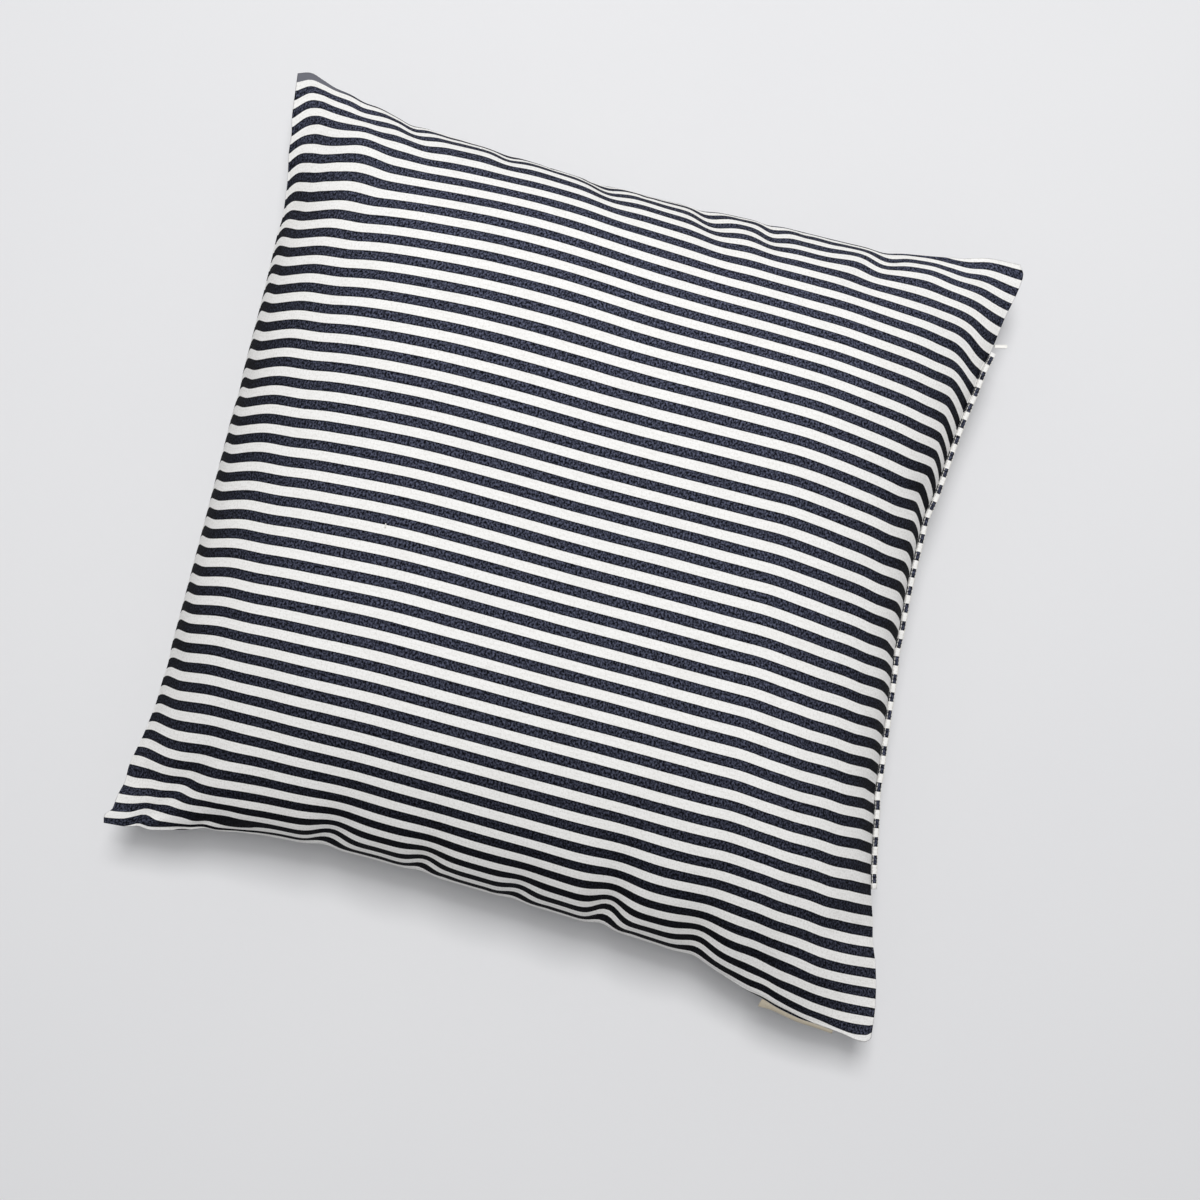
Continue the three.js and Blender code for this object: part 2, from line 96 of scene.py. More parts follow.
# Uneven fill under the upper panel: where it is heaped or slumped, its reach in cloth
# coordinates, how much higher it stands, and how far the cloth there is dragged down
FILL = [
    dict(at=0.68, up=0.86, reach_at=0.26, reach_up=0.16, rise=-6, drag=9),
    dict(at=0.52, up=0.52, reach_at=0.34, reach_up=0.36, rise=6, drag=0),
    dict(at=0.27, up=0.30, reach_at=0.13, reach_up=0.11, rise=2, drag=0),
    dict(at=0.36, up=0.74, reach_at=0.14, reach_up=0.10, rise=-2, drag=0),
    dict(at=0.78, up=0.36, reach_at=0.10, reach_up=0.16, rise=2, drag=0),
    dict(at=0.45, up=0.67, reach_at=0.32, reach_up=0.20, rise=0, drag=5.5),
    dict(at=0.45, up=0.92, reach_at=0.25, reach_up=0.08, rise=0, drag=-4),
    dict(at=0.87, up=0.48, reach_at=0.10, reach_up=0.45, rise=0, drag=-6.5),
    dict(at=0.97, up=0.72, reach_at=0.06, reach_up=0.12, rise=0, drag=-8),
    dict(at=0.93, up=0.87, reach_at=0.09, reach_up=0.12, rise=0, drag=-5),
    dict(at=0.05, up=0.94, reach_at=0.12, reach_up=0.10, rise=0, drag=-12),
    dict(at=0.13, up=0.05, reach_at=0.12, reach_up=0.09, rise=0, drag=7),
    dict(at=0.68, up=0.22, reach_at=0.22, reach_up=0.14, rise=0, drag=-4),
]

# Puckers where each seam gathers the upper panel: place along the seam, half width, depth,
# how far the crease runs in from the seam, and how much it leans on the way
PUCKERS = dict(
    top=[
        dict(at=0.10, width=13, depth=6, reach=60, lean=0.5),
        dict(at=0.17, width=11, depth=5, reach=50, lean=0.4),
        dict(at=0.30, width=13, depth=4, reach=45, lean=0.2),
        dict(at=0.43, width=15, depth=5, reach=60, lean=0.3),
        dict(at=0.57, width=13, depth=6, reach=70, lean=0.3),
        dict(at=0.66, width=11, depth=5, reach=55, lean=0.1),
        dict(at=0.82, width=14, depth=6, reach=70, lean=-0.3),
        dict(at=0.93, width=13, depth=3, reach=50, lean=-0.5),
    ],
    bottom=[
        dict(at=0.042, width=8, depth=13, reach=75, lean=0.5),
        dict(at=0.125, width=9, depth=5, reach=35, lean=0.4),
        dict(at=0.275, width=14, depth=8, reach=60, lean=0.2),
        dict(at=0.40, width=13, depth=6, reach=55, lean=0.1),
        dict(at=0.52, width=12, depth=5, reach=45, lean=0.1),
        dict(at=0.634, width=12, depth=10, reach=85, lean=0.05),
        dict(at=0.755, width=14, depth=6, reach=70, lean=-0.1),
        dict(at=0.85, width=14, depth=5, reach=55, lean=-0.2),
    ],
    left=[
        dict(at=0.07, width=13, depth=6, reach=45, lean=0.2),
        dict(at=0.24, width=14, depth=3, reach=40, lean=0),
        dict(at=0.60, width=15, depth=3, reach=40, lean=0),
        dict(at=0.83, width=14, depth=4, reach=50, lean=-0.1),
        dict(at=0.93, width=12, depth=5, reach=50, lean=-0.3),
    ],
    right=[
        dict(at=0.12, width=14, depth=4, reach=60, lean=0.1),
        dict(at=0.30, width=15, depth=3, reach=40, lean=0),
        dict(at=0.48, width=15, depth=3, reach=40, lean=0),
        dict(at=0.66, width=15, depth=4, reach=45, lean=0),
        dict(at=0.86, width=14, depth=3, reach=60, lean=-0.2),
    ],
)
PUCKER_START = 14.0                 # a pucker reaches its full depth this far in from the seam
PUCKER_RIM = 0.6                    # how much the cloth beside a pucker stands up
PUCKER_SPREAD = 0.15                # how much wider it gets for each millimetre from the seam
THIN_CLOTH = 0.3                    # puckers fade where the fill is thinner than this part of the crown
LOWER_PUCKERS = 0.6                 # puckers of the lower panel against those of the upper one
LOWER_SHIFT = 0.035                 # and how far along the seam they are shifted
SEAM_WAVE = 0.3                     # how far a pucker draws the seam in, against its own depth
WAVE_FADE = 12                      # the seam's waves fade out over one part in this many
WAVE_REACH = 0.05                   # and into the panel over this share of it
STEP = 0.004                        # step in cloth coordinates for a direction on the surface
TINY = 1e-12                        # keeps a normal's length above zero at the corner tips

# Small gathers between the main puckers, in random places. Each range is the share of the size
# here, or of the spacing, that a random draw lies in, and lean is the spread of their lean.
GATHERS = dict(
    spacing=17.0, width=4.5, depth=1.1, reach=20.0, start=4.0, lean=0.25,
    place_range=(0.15, 0.85), width_range=(0.6, 1.6), depth_range=(0.1, 1), reach_range=(0.4, 1.3),
)
GATHER_FADE = 8                     # they fade where the fill is under one part in this many of the crown
SEED = 41

# The stitched edge, where both panels turn in to the seam: depth of its groove, how far in from
# the seam that runs, and its half width
EDGE = dict(groove=0.55, at=1.7, width=1.1)
EDGE_FADE = 60                      # it fades where the fill is under one part in this many

# Mesh lines of a panel: how far in from each seam the close ones run, and how many even ones
# lie between the innermost of them
EDGE_LINES = [0, 0.7, 1.5, 2.4, 3.5, 4.9, 6.6]
INNER_LINES = 190

# Cloth: stripes along X, a dark and a white one to the pitch
STRIPE_PITCH = 15.875
DARK_SHARE = 0.52
FIRST_STRIPE = 25.5                 # top edge of the first whole dark stripe below the top seam
OFF_GRAIN = 1.5                     # how much lower the stripes start at the right seam than at the left
BACK_OFFSET = 5.0                   # the back panel's stripes against the front's
STRIPE_CENTRE = PANEL - FIRST_STRIPE - STRIPE_PITCH * DARK_SHARE / 2  # and that stripe's middle

# Where the upper panel's cloth has crept over the fill or into a seam: place, reach, and how far
# down the pillow it has moved there, in millimetres
CREEP = [
    dict(at=0.00, up=0.45, reach_at=0.045, reach_up=0.35, down=-5),
    dict(at=0.02, up=0.78, reach_at=0.06, reach_up=0.16, down=-6),
    dict(at=0.045, up=0.95, reach_at=0.03, reach_up=0.05, down=-6),
    dict(at=0.00, up=0.98, reach_at=0.025, reach_up=0.06, down=6),
    dict(at=0.14, up=0.92, reach_at=0.04, reach_up=0.08, down=-4),
    dict(at=0.17, up=1.00, reach_at=0.09, reach_up=0.012, down=3.5),
    dict(at=0.27, up=0.965, reach_at=0.12, reach_up=0.035, down=-7.5),
    dict(at=0.24, up=1.00, reach_at=0.09, reach_up=0.015, down=-2.5),
    dict(at=0.035, up=1.00, reach_at=0.035, reach_up=0.015, down=6.5),
    dict(at=0.17, up=0.36, reach_at=0.10, reach_up=0.22, down=2),
    dict(at=0.00, up=0.01, reach_at=0.05, reach_up=0.05, down=11),
    dict(at=0.12, up=0.01, reach_at=0.05, reach_up=0.02, down=8),
    dict(at=0.10, up=0.10, reach_at=0.06, reach_up=0.06, down=2.5),
    dict(at=0.96, up=0.05, reach_at=0.11, reach_up=0.16, down=6.5),
    dict(at=0.80, up=0.14, reach_at=0.05, reach_up=0.08, down=-3),
    dict(at=0.015, up=0.07, reach_at=0.025, reach_up=0.025, down=4),
    dict(at=0.045, up=0.025, reach_at=0.015, reach_up=0.015, down=-4),
    dict(at=0.125, up=0.03, reach_at=0.025, reach_up=0.014, down=5),
    dict(at=0.17, up=0.02, reach_at=0.03, reach_up=0.014, down=7),
    dict(at=0.10, up=0.00, reach_at=0.018, reach_up=0.008, down=-8),
    dict(at=0.87, up=0.09, reach_at=0.06, reach_up=0.20, down=-5.4),
    dict(at=0.91, up=0.00, reach_at=0.045, reach_up=0.008, down=-5),
    dict(at=1.00, up=0.00, reach_at=0.03, reach_up=0.02, down=-4.5),
    dict(at=0.85, up=0.045, reach_at=0.03, reach_up=0.02, down=3),
    dict(at=0.45, up=0.77, reach_at=0.12, reach_up=0.09, down=-3),
    dict(at=0.65, up=0.60, reach_at=0.12, reach_up=0.08, down=2),
    dict(at=0.96, up=0.74, reach_at=0.04, reach_up=0.06, down=3),
    dict(at=1.00, up=0.99, reach_at=0.06, reach_up=0.05, down=9),
    dict(at=0.92, up=1.00, reach_at=0.045, reach_up=0.03, down=7.5),
    dict(at=0.98, up=0.88, reach_at=0.03, reach_up=0.04, down=3.5),
    dict(at=0.79, up=0.95, reach_at=0.035, reach_up=0.03, down=-8),
    dict(at=0.78, up=0.90, reach_at=0.04, reach_up=0.06, down=-3),
    dict(at=0.98, up=0.62, reach_at=0.05, reach_up=0.12, down=-3.5),
    dict(at=0.88, up=0.96, reach_at=0.04, reach_up=0.035, down=-5.5),
]

# Zip lap, a folded and topstitched strip along the right seam
LAP = dict(start=0.181, end=0.887, width=4.6, thick=2.6)
LAP_STATIONS = 240
LAP_FOLD = dict(points=9, round=0.9)  # points of its fold, and how round that is against half the thickness
LAP_CROWN = 0.12                    # how much its upper side bulges
LAP_INNER = 0.8                     # thickness of the edge at the seam against that of the rest
LAP_TOP_AT = (LAP["width"] * 0.7, LAP["width"] * 0.45, 0.9, 0.35)  # points of its upper side, from the seam
LAP_BOTTOM_AT = (0.35, LAP["width"] * 0.45)                        # and of its lower side
LAP_CLOSING = 1.5                   # cloth from the last point of its section to the first
LAP_STRIPE_AT = 241.5               # a dark stripe of the lap is centred at this Y
LAP_GATHER = 0.95                   # the lap is gathered to this share of its own length

# Topstitching of the lap: size and pitch of a stitch, how uneven its length is, how high it arches,
# where a row's first stitch starts, and how far from the lap's upper end the last one starts at least
STITCH = dict(length=2.6, radius=0.34, pitch=3.1, uneven=(0.93, 1.05), arch=0.16, first=0.6, last=3.2)
STITCH_ROWS = [(0.65, 0.08), (LAP["width"] - 0.35, -0.12)]  # out from the seam, and up from the lap
STITCH_INSET = 0.001                # cloth coordinate by which the rows are shorter at each end
STITCH_SAMPLES = 3000               # places along the lap that a point of a stitch can take

# Pull of the closed zip. Its root is narrower: millimetres out, and share of the half width. Its
# rings run from below to above: inset from the outline, side of its middle plane, and how far
# short of the full thickness they stand.
PULL = dict(at=0.8955, length=11.0, width=3.2, thick=1.8, turn=13.5)
PULL_ARC_POINTS = 13
PULL_ROOT = [(0.0, 0.8), (0.4, 0.86)]
PULL_RINGS = [
    dict(inset=0.22, side=-1, short=0.0),
    dict(inset=0.0, side=-1, short=0.25),
    dict(inset=0.0, side=1, short=0.25),
    dict(inset=0.22, side=1, short=0.0),
    dict(inset=0.62, side=1, short=0.02),
    dict(inset=0.8, side=1, short=0.2),
]

# Blank label caught in the bottom seam. More of it shows at its left end: flare is how much more,
# flare_reach over what share of its length, and drop how low its free edge hangs.
LABEL = dict(
    start=0.853, end=0.95, show=3.8, show_end=2.8, flare=3.2, flare_reach=0.12, thick=1.0, drop=1.2,
)
LABEL_STATIONS = 60
# Its section: out, in parts of what shows, and up, in parts of half the thickness
LABEL_SECTION = [(0, -0.8), (0.5, -1), (0.88, -1), (1.0, -0.55), (1.03, 0), (1.0, 0.55), (0.88, 1), (0.5, 1),
                 (0, 0.8)]
LABEL_FIT = 0.97                    # keeps its bulging fold within what shows
LABEL_RIPPLE = dict(height=0.7, turn=19)  # waves of its free edge: millimetres, and radians in all
LABEL_UV_STEP = 1.4                 # cloth from one point of the section to the next
GAP = 0.3                           # clearance between neighbouring pieces

# Bits of pale thread, three on the left seam and one on the panel: cloth coordinates of both ends
THREAD_BITS = [
    dict(s=0.0030, t=0.3905, to_s=0.0030, to_t=0.3945),
    dict(s=0.0030, t=0.3665, to_s=0.0026, to_t=0.3725),
    dict(s=0.0042, t=0.4150, to_s=0.0042, to_t=0.4180),
    dict(s=0.3006, t=0.4395, to_s=0.3000, to_t=0.4455),
]
THREAD_RADIUS = 0.6
THREAD_SIDES = 6                    # sides of the section of a stitch or a bit of thread
THREAD_POINTS = 6                   # sections along it
THREAD_END = dict(reach=0.96, power=6, least=0.05)  # how its two ends round off

UP = np.array([0, 0, 1.0])


def mix(a, b, x):
    return a + (b - a) * x


def smooth(x):
    x = np.clip(x, 0, 1)
    return x * x * (3 - 2 * x)


def through(rows, at):
    """Piecewise curve through a table's rows, with the slopes of a monotone cubic."""
    x, y = np.array(rows, float).T
    step = np.diff(y) / np.diff(x)
    before, after = step[:-1], step[1:]
    total = np.where(before + after == 0, 1, before + after)
    inner = np.where(before * after <= 0, 0, 2 * before * after / total)
    slope = np.concatenate([[step[0]], inner, [step[-1]]])
    at = np.clip(at, x[0], x[-1])
    i = np.clip(np.searchsorted(x, at, side="right") - 1, 0, len(x) - 2)
    span = x[i + 1] - x[i]
    u = (at - x[i]) / span
    out = u * (1 - u) ** 2 * slope[i] * span
    into = u * u * (1 - u) * slope[i + 1] * span
    return y[i] + (y[i + 1] - y[i]) * u * u * (3 - 2 * u) + out - into


def section(power, edge_slope):
    """Half cross-section of a filled panel: its slope grows as a power of the way to the seam.
    plan says how far out the cloth has come, rise how high it still stands, both 0 to 1."""
    steps = 200
    angle = edge_slope * ((np.arange(steps) + 0.5) / steps) ** power
    plan = np.concatenate([[0], np.cumsum(np.cos(angle))])
    fall = np.concatenate([[0], np.cumsum(np.sin(angle))])
    at = np.linspace(0, 1, steps + 1)
    return dict(
        plan=lambda q: np.interp(np.abs(q), at, plan / plan[-1]),
        rise=lambda q: 1 - np.interp(np.abs(q), at, fall / fall[-1]),
    )


UPPER = {side: section(power, UPPER_EDGE_SLOPE) for side, power in ROLL_OFF.items()}
LOWER = {side: section(LOWER_FULLNESS, LOWER_EDGE_SLOPE) for side in ROLL_OFF}


def dip(offset, width):
    """Depth of a pucker across its own width, with its two rims."""
    x = offset / width
    return (1 - PUCKER_RIM * x * x) * np.exp(-x * x)


def wave(side, at, away, length):
    """How far the puckers of one seam draw the cloth inwards near it."""
    inward = sum(SEAM_WAVE * row["depth"] * dip((at - row["at"]) * length, row["width"])
                 for row in PUCKERS[side])
    inward = inward * smooth(at * WAVE_FADE) * smooth((1 - at) * WAVE_FADE)
    return inward * np.exp(-((away / WAVE_REACH) ** 2))


def corner(name, axis):
    return CORNERS[name][axis]


def four(axis, s, t):
    """A corner value spread over the whole cloth."""
    low = mix(corner("bottom_left", axis), corner("bottom_right", axis), s)
    high = mix(corner("top_left", axis), corner("top_right", axis), s)
    return mix(low, high, t)


def seam_height(s, t):
    """The seam sinks towards the corner tips."""
    near_corner = np.abs((2 * s - 1) * (2 * t - 1)) ** CORNER_DROP_POWER
    return mix(SEAM_HEIGHT, four("z", s, t), near_corner)


def sides(s, t):
    """The place of the four sides for cloth coordinates s and t."""
    across = corner("top_right", "x") - corner("top_left", "x")
    up = corner("top_left", "y") - corner("bottom_left", "y")
    return dict(
        left=four("x", 0, t) + through(DRAWN_IN["left"], t) + wave("left", t, s, up),
        right=four("x", 1, t) - through(DRAWN_IN["right"], t) - wave("right", t, 1 - s, up),
        bottom=four("y", s, 0) + through(DRAWN_IN["bottom"], s) + wave("bottom", s, t, across)
        + through(TIP_BULGE, s) * np.exp(-((t / TIP_REACH) ** 2)),
        top=four("y", s, 1) - through(DRAWN_IN["top"], s) - wave("top", s, 1 - t, across)
        - through(TOP_BULGE, s) * np.exp(-(((1 - t) / TOP_REACH) ** 2)),
    )


def bare(s, t, panel):
    """A panel before its puckers: points, and how full the fill is under them."""
    a = 2 * s - 1
    b = 2 * t - 1

    def read(kind, q, low, high):
        return np.where(q < 0, panel[low][kind](q), panel[high][kind](q))

    full_across = read("rise", a, "left", "right")
    full_up = read("rise", b, "bottom", "top")
    across = mix(a, np.sign(a) * read("plan", a, "left", "right"), full_up ** 2)
    up = mix(b, np.sign(b) * read("plan", b, "bottom", "top"), full_across ** 2)
    side = sides(s, t)
    right_sag = mix(SIDE_SAG["right_bottom"], SIDE_SAG["right_top"], t)
    sag = (1 - b ** 4) * np.where(a < 0, SIDE_SAG["left"] * np.abs(a) ** 3, right_sag * a ** 4)
    x = mix(side["left"], side["right"], (1 + across) / 2)
    y = mix(side["bottom"], side["top"], (1 + up) / 2) - sag
    return np.stack([x, y, seam_height(s, t)], -1), full_across * full_up


def bare_upper(s, t):
    point, full = bare(s, t, UPPER)
    point[..., 2] += CROWN_RISE * full
    for heap in FILL:
        away = ((s - heap["at"]) / heap["reach_at"]) ** 2 + ((t - heap["up"]) / heap["reach_up"]) ** 2
        share = np.exp(-away) * np.minimum(full / THIN_CLOTH, 1)
        point[..., 1] -= heap["drag"] * share
        point[..., 2] += heap["rise"] * share
    return point, full


def bare_lower(s, t):
    point, full = bare(s, t, LOWER)
    point[..., 2] -= BELLY_DROP * full
    return point, full


def creep(s, t):
    """How far down the pillow the upper panel's cloth has moved."""
    return sum(row["down"] * np.exp(-((s - row["at"]) / row["reach_at"]) ** 2
                                    - ((t - row["up"]) / row["reach_up"]) ** 2) for row in CREEP)


def seam_places(s, t):
    """Millimetres along each seam and away from it."""
    width = corner("top_right", "x") - corner("top_left", "x")
    height = corner("top_left", "y") - corner("bottom_left", "y")
    return dict(
        top=(s * width, (1 - t) * height, width),
        bottom=(s * width, t * height, width),
        left=(t * height, s * width, height),
        right=(t * height, (1 - s) * width, height),
    )


def small_gathers():
    """A table of small gathers for each seam, as the tables of the main puckers."""
    rng = np.random.default_rng(SEED)
    count = int(PANEL / GATHERS["spacing"])
    rows = {}
    for side in PUCKERS:
        at = (np.arange(count) + rng.uniform(*GATHERS["place_range"], count)) / count
        rows[side] = [
            dict(at=at[k], width=GATHERS["width"] * rng.uniform(*GATHERS["width_range"]),
                 depth=GATHERS["depth"] * rng.uniform(*GATHERS["depth_range"]) ** 2,
                 reach=GATHERS["reach"] * rng.uniform(*GATHERS["reach_range"]),
                 lean=rng.normal(0, GATHERS["lean"]))
            for k in range(count)
        ]
    return rows


FINE = small_gathers()


def puckered(s, t, shift, tables, start):
    """Depth of all the puckers in the tables at a place of a panel."""
    depth = np.zeros(np.broadcast(s, t).shape)
    for side, (along, away, length) in seam_places(s, t).items():
        for row in tables[side]:
            middle = (row["at"] + shift) * length + row["lean"] * away
            fade = np.exp(-((away / row["reach"]) ** 2)) * smooth(away / start)
            depth += row["depth"] * fade * dip(along - middle, row["width"] + PUCKER_SPREAD * away)
    return depth


def pressed(bare_side, s, t, shift, strength):
    """The panel pressed in along its normal by its puckers, gathers and the seam's groove."""
    point, full = bare_side(s, t)
    ds = bare_side(np.minimum(s + STEP, 1), t)[0] - bare_side(np.maximum(s - STEP, 0), t)[0]
    dt = bare_side(s, np.minimum(t + STEP, 1))[0] - bare_side(s, np.maximum(t - STEP, 0))[0]
    normal = np.cross(ds, dt)
    normal /= np.linalg.norm(normal, axis=-1, keepdims=True) + TINY
    depth = puckered(s, t, shift, PUCKERS, PUCKER_START) * np.minimum(full / THIN_CLOTH, 1)
    depth += puckered(s, t, shift, FINE, GATHERS["start"]) * np.minimum(full * GATHER_FADE, 1)
    edge = np.min(np.stack(np.broadcast_arrays(s, 1 - s, t, 1 - t)), 0) * PANEL
    groove = EDGE["groove"] * np.exp(-(((edge - EDGE["at"]) / EDGE["width"]) ** 2))
    depth += groove * smooth(edge / EDGE["at"]) * np.minimum(full * EDGE_FADE, 1)
    return point - (strength * depth)[..., None] * normal


# From the corner table's origin to the part's: the bottom seam's lowest place is the cover's
ALONG = np.linspace(0, 1, 400)
SEAM_LOWEST = pressed(bare_upper, ALONG, 0 * ALONG, 0, 1)[:, 1].min()
SHIFT = np.array([0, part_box("cover")[0].y / MM - SEAM_LOWEST, 0])


def upper_point(s, t):
    return pressed(bare_upper, s, t, 0, 1) + SHIFT


def lower_point(s, t):
    point = pressed(bare_lower, s, t, LOWER_SHIFT, -LOWER_PUCKERS)
    point[..., 2] = np.maximum(point[..., 2], 0)
    return point + SHIFT


def lines():
    """Cloth coordinates of the mesh lines: close together at the seams, even in between."""
    edge = np.array(EDGE_LINES) / PANEL
    inner = np.linspace(edge[-1], 1 - edge[-1], INNER_LINES)
    return np.concatenate([edge[:-1], inner, (1 - edge[:-1])[::-1]])


def mesh_object(name, points, faces, uvs, material, smooth_shade=True):
    """A mesh from points in millimetres. uvs are millimetres of cloth, one for each corner of a face."""
    mesh = bpy.data.meshes.new(name)
    mesh.from_pydata((np.asarray(points) * MM).tolist(), [], faces)
    if uvs is not None:
        layer = mesh.uv_layers.new(name="cloth")
        layer.data.foreach_set("uv", (np.asarray(uvs) * MM).astype(np.float32).ravel())
    mesh.polygons.foreach_set("use_smooth", [smooth_shade] * len(mesh.polygons))
    mesh.update()
    mesh.materials.append(material)
    piece = bpy.data.objects.new(name, mesh)
    bpy.context.scene.collection.objects.link(piece)
    return piece


def build_cover(material):
    """Both panels as one closed mesh, the lower one joined to the upper one's seam."""
    line = lines()
    n = len(line)
    s, t = np.meshgrid(line, line)
    upper = upper_point(s, t).reshape(-1, 3)
    lower = lower_point(s, t).reshape(-1, 3)
    on_seam = ((s == 0) | (s == 1) | (t == 0) | (t == 1)).ravel()
    under = np.where(on_seam, np.arange(n * n), 0)
    under[~on_seam] = n * n + np.arange((~on_seam).sum())
    points = np.concatenate([upper, lower[~on_seam]])
    cell = (np.arange(n - 1)[:, None] * n + np.arange(n - 1)[None, :]).ravel()
    front = np.stack([cell, cell + 1, cell + n + 1, cell + n], 1)
    back = np.stack([cell, cell + n, cell + n + 1, cell + 1], 1)
    faces = np.concatenate([front, under[back]]).tolist()
    u = (s * PANEL).ravel()
    v = (t * PANEL + OFF_GRAIN * (s - 0.5)).ravel()
    crept = v + creep(s, t).ravel()
    front_uv = np.stack([u[front], crept[front]], -1).reshape(-1, 2)
    back_uv = np.stack([u[back], v[back] + BACK_OFFSET], -1).reshape(-1, 2)
    return mesh_object("pillow_cover", points, faces, np.concatenate([front_uv, back_uv]), material)


def unit(vectors):
    return vectors / np.linalg.norm(vectors, axis=-1, keepdims=True)


def run_along(points):
    """How far along a row of points each of them lies."""
    return np.concatenate([[0], np.cumsum(np.linalg.norm(np.diff(points, axis=0), axis=1))])


def seam_frame(at, side):
    """Points on the right or bottom seam, and the along and outward directions there, held level."""
    def seam(x):
        return upper_point(np.ones_like(x), x) if side == "right" else upper_point(x, np.zeros_like(x))

    along = seam(at + STEP) - seam(at - STEP)
    along[..., 2] = 0
    along = unit(along)
    outward = np.stack([along[..., 1], -along[..., 0], 0 * along[..., 0]], -1)
    return seam(at), along, outward


def tube_faces(count, size, first=0, clockwise=False):
    """Faces through count rings of size points, numbered from first. Each end is one face."""
    faces = []
    for r in range(count - 1):
        for k in range(size):
            a = first + r * size + k
            b = first + r * size + (k + 1) % size
            faces.append([a, a + size, b + size, b] if clockwise else [a, b, b + size, a + size])
    start = [first + k for k in range(size)]
    end = [first + (count - 1) * size + k for k in range(size)]
    return faces + ([start, end[::-1]] if clockwise else [start[::-1], end])


def swept(name, rings, around, along, material):
    """A closed strip through rings of points, with its cloth coordinates around and along."""
    count, size = rings.shape[:2]
    face_uv = []
    for r in range(count - 1):
        for k in range(size):
            face_uv += [(around[k], along[r]), (around[k + 1], along[r]),
                        (around[k + 1], along[r + 1]), (around[k], along[r + 1])]
    face_uv += [(around[k], along[0]) for k in range(size)][::-1]
    face_uv += [(around[k], along[-1]) for k in range(size)]
    return mesh_object(name, rings.reshape(-1, 3), tube_faces(count, size), face_uv, material)


def lap_section():
    """Section of the lap: out and up, square against the seam and rounded at its fold."""
    width = LAP["width"]
    half = LAP["thick"] / 2
    bend = half * LAP_FOLD["round"]
    arc = np.linspace(-math.pi / 2, math.pi / 2, LAP_FOLD["points"])
    fold = [(width - bend + bend * math.cos(a), half * math.sin(a)) for a in arc]
    top = [(x, half + LAP_CROWN * math.sin(math.pi * x / width)) for x in LAP_TOP_AT]
    at_seam = [(0.0, half * LAP_INNER), (0.0, -half * LAP_INNER)]
    bottom = [(x, -half) for x in LAP_BOTTOM_AT]
    return np.array(fold + top + at_seam + bottom)


def build_lap(material):
    point, _, outward = seam_frame(np.linspace(LAP["start"], LAP["end"], LAP_STATIONS), "right")
    shape = lap_section()
    rings = point[:, None] + (GAP + shape[None, :, :1]) * outward[:, None] + shape[None, :, 1:] * UP
    run = run_along(point)
    zero = np.interp(LAP_STRIPE_AT, point[:, 1], run)
    around = run_along(shape)
    around = np.append(around, around[-1] + LAP_CLOSING)
    return swept("zip_lap_cloth", rings, around, (run - zero) / LAP_GATHER + STRIPE_CENTRE, material)


def thread_row(name, paths, radius, material):
    """Short round bits of thread, each a small bar with rounded ends along its own path."""
    points = []
    faces = []
    for path in paths:
        along = unit(np.gradient(path, axis=0))
        across = unit(np.cross(along, UP))
        top = np.cross(across, along)
        place = np.linspace(-THREAD_END["reach"], THREAD_END["reach"], len(path))
        thick = radius * np.sqrt(np.clip(1 - place ** THREAD_END["power"], THREAD_END["least"], 1))
        faces += tube_faces(len(path), THREAD_SIDES, first=len(points), clockwise=True)
        for p, a, b, r in zip(path, across, top, thick):
            for k in range(THREAD_SIDES):
                angle = 2 * math.pi * k / THREAD_SIDES
                points.append(p + r * (a * math.cos(angle) + b * math.sin(angle)))
    return mesh_object(name, points, faces, None, material)


def lap_stitches(material):
    """Two rows of topstitching along the lap, one by the seam and one by the fold."""
    rng = np.random.default_rng(SEED + 1)
    at = np.linspace(LAP["start"] + STITCH_INSET, LAP["end"] - STITCH_INSET, STITCH_SAMPLES)
    point, _, outward = seam_frame(at, "right")
    run = run_along(point)
    arch = STITCH["arch"] * np.sin(np.linspace(0, math.pi, THREAD_POINTS))
    paths = []
    for out, lift in STITCH_ROWS:
        start = STITCH["first"]
        while start < run[-1] - STITCH["last"]:
            length = STITCH["length"] * rng.uniform(*STITCH["uneven"])
            places = np.interp(start + np.linspace(0, length, THREAD_POINTS), run, np.arange(len(run)))
            i = places.astype(int)
            path = point[i] + outward[i] * (GAP + out)
            path[:, 2] += LAP["thick"] / 2 + lift + arch
            paths.append(path)
            start += STITCH["pitch"]
    return thread_row("lap_stitches", paths, STITCH["radius"], material)


def thread_bits(material):
    """Short bits of thread that lie on the upper panel."""
    paths = []
    for row in THREAD_BITS:
        s = np.linspace(row["s"], row["to_s"], THREAD_POINTS)
        t = np.linspace(row["t"], row["to_t"], THREAD_POINTS)
        path = upper_point(s, t)
        path[:, 2] += THREAD_RADIUS / 2
        paths.append(path)
    return thread_row("thread_bits", paths, THREAD_RADIUS, material)


